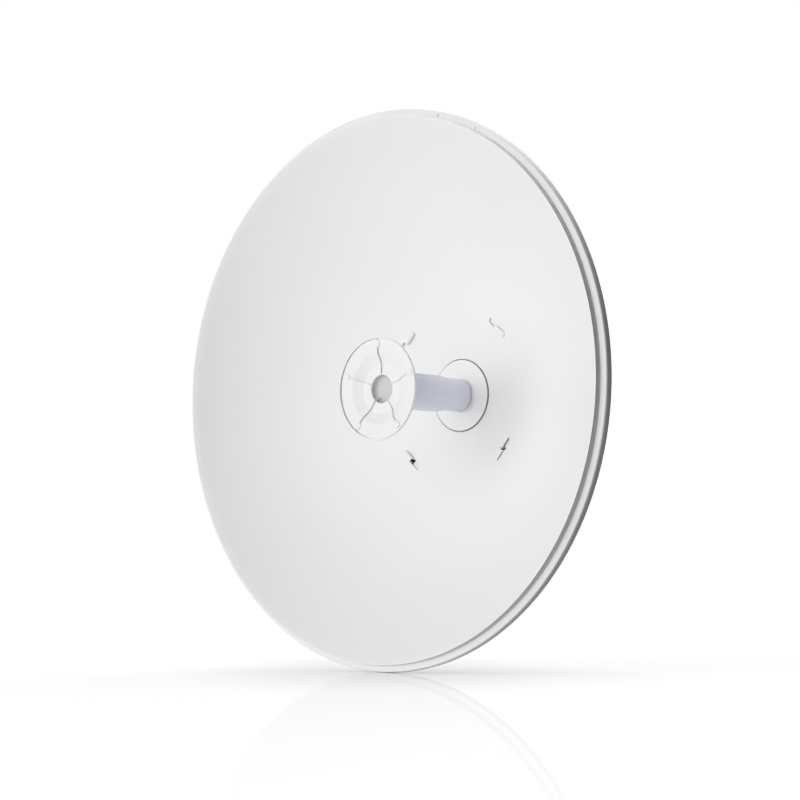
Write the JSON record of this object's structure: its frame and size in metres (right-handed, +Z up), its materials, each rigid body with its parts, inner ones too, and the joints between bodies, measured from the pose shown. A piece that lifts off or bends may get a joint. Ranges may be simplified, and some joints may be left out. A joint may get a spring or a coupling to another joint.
{
  "type": "parabolic dish antenna",
  "caption": "Round parabolic dish antenna with a central rear-fed tube and splash plate, a stepped rim, and a rear bracket that clamps to a pole.",
  "frame": {"origin": "on the flat rear face of the mount's bracket, where it lies against the pole, level with the dish's axis", "axes": "the dish looks along -Y, +Y runs back through the pole, +Z up, +X to the right as seen from in front of the dish"},
  "size_m": [0.648, 0.358, 0.648],
  "materials": {
    "white_paint": "smooth satin white powder coat",
    "feed_plastic": "smooth satin moulded plastic, white",
    "tube_plastic": "smooth satin moulded plastic, faintly cool",
    "plug_grey": "dull light grey",
    "galvanised": "zinc-coated steel sheet",
    "black_coat": "dull black coat on steel sheet",
    "bolt_steel": "bright zinc-plated fasteners",
    "housing_metal": "plain turned aluminium"
  },
  "bodies": {
    "root": {"centre_plug": "plug_grey", "cheek_left": "galvanised", "cheek_right": "galvanised", "clamp_bolt_lower_left": "bolt_steel", "clamp_bolt_lower_right": "bolt_steel", "clamp_bolt_upper_left": "bolt_steel", "clamp_bolt_upper_right": "bolt_steel", "connector_1": "housing_metal", "connector_2": "housing_metal", "feed_housing": "housing_metal", "feed_tube": "tube_plastic", "hook_lower_left": "black_coat", "hook_lower_right": "black_coat", "hook_upper_left": "black_coat", "hook_upper_right": "black_coat", "housing_cap": "housing_metal", "hub_disc": "feed_plastic", "hub_plate": "black_coat", "jaw_lower": "galvanised", "jaw_upper": "galvanised", "plate_bolt_lower_left": "bolt_steel", "plate_bolt_lower_right": "bolt_steel", "plate_bolt_upper_left": "bolt_steel", "plate_bolt_upper_right": "bolt_steel", "plate_rim": "feed_plastic", "rear_bracket": "galvanised", "reflector": "white_paint", "rib_1": "feed_plastic", "rib_2": "feed_plastic", "rib_3": "feed_plastic", "rib_4": "feed_plastic", "rib_5": "feed_plastic", "side_bolt_lock_left": "bolt_steel", "side_bolt_lock_right": "bolt_steel", "side_bolt_pivot_left": "bolt_steel", "side_bolt_pivot_right": "bolt_steel", "splash_plate": "feed_plastic"}
  },
  "joints": []
}
